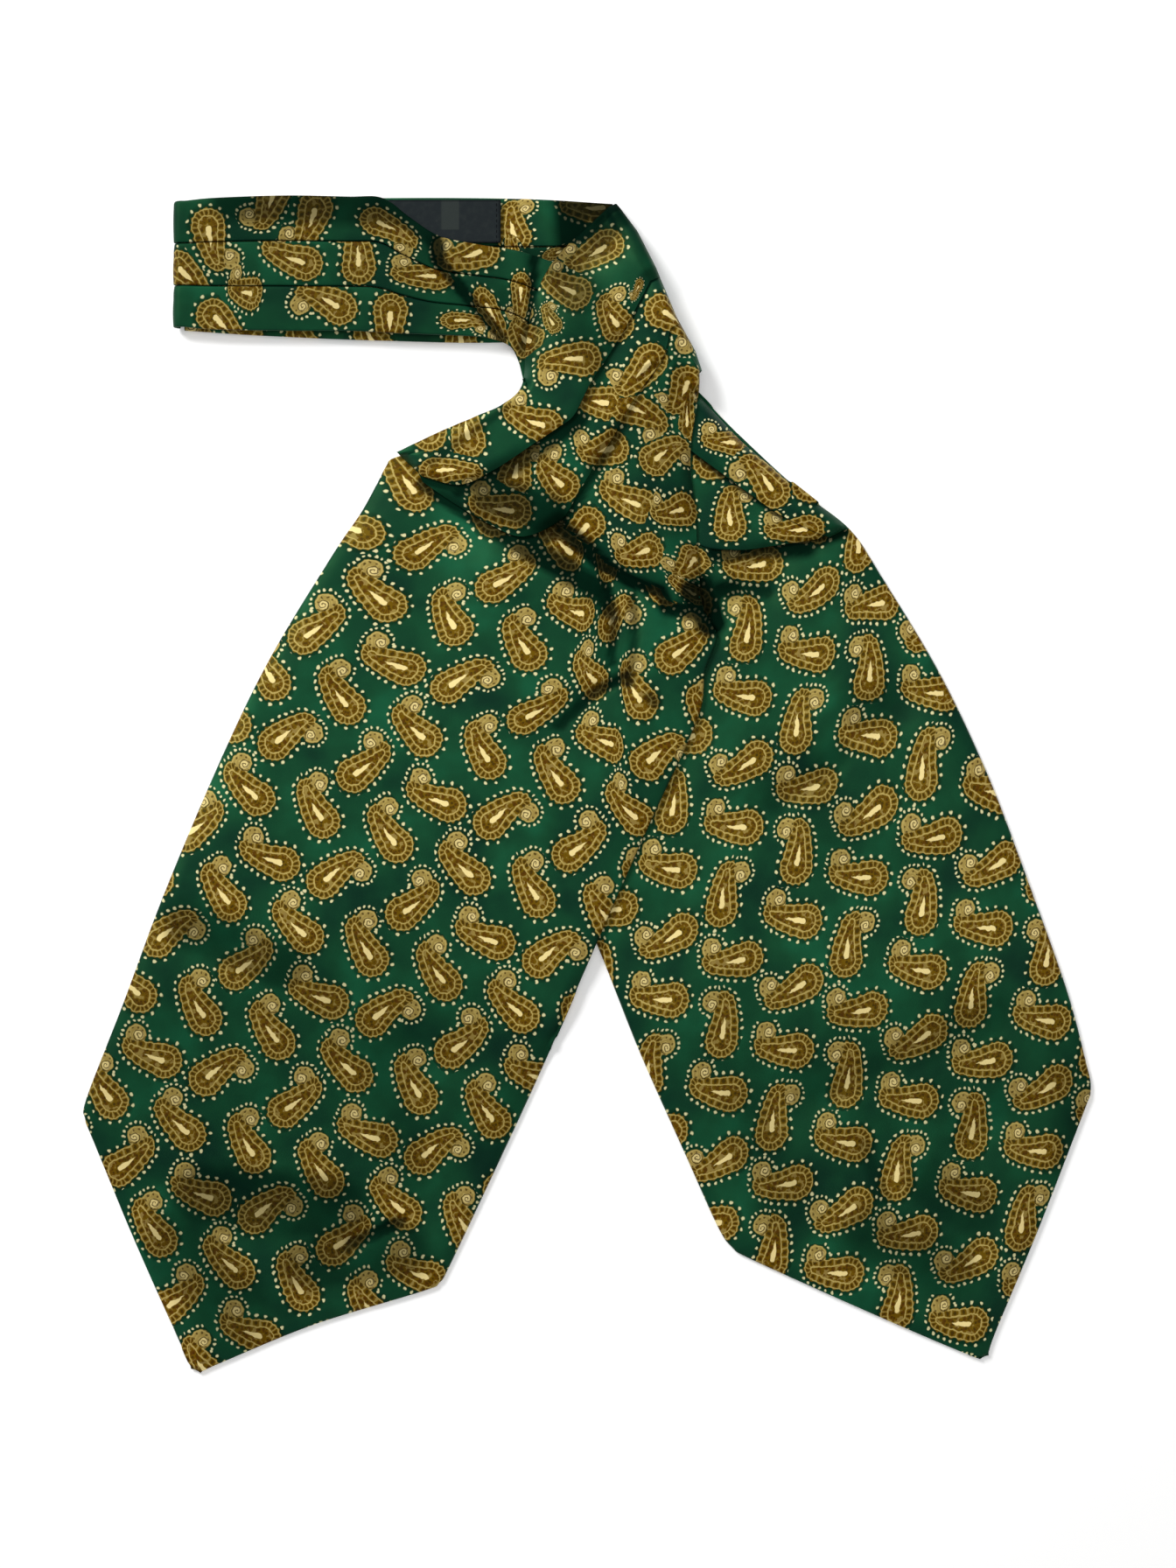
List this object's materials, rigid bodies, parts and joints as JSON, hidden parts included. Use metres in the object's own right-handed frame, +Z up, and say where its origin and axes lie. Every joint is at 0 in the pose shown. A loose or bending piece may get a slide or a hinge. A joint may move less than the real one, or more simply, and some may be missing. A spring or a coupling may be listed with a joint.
{
  "type": "silk cravat",
  "caption": "Silk day cravat laid flat: pointed blades hang from a knife-pleated neckband that lies in a flat loop and turns over along a diagonal fold.",
  "frame": {"origin": "middle of the cravat's outline, on the surface that it lies on", "axes": "+X to the right, +Y from the blades' tips towards the neckband, +Z up from the surface"},
  "size_m": [0.3986, 0.4662, 0.0151],
  "materials": {
    "silk": "fine silk twill with a soft satin sheen, printed all over with cream and ochre paisley",
    "label": "matt woven tape, bare"
  },
  "bodies": {
    "root": {"neckband_back": "silk", "neckband_front": "silk", "neckband_turn": "silk", "fold_turn": "silk", "blade_left_back": "silk", "blade_left_front": "silk", "left_pleat_outer": "silk", "left_pleat_inner": "silk", "blade_right_back": "silk", "blade_right_front": "silk", "right_pleat_outer": "silk", "right_pleat_inner": "silk", "label": "label"}
  },
  "joints": []
}
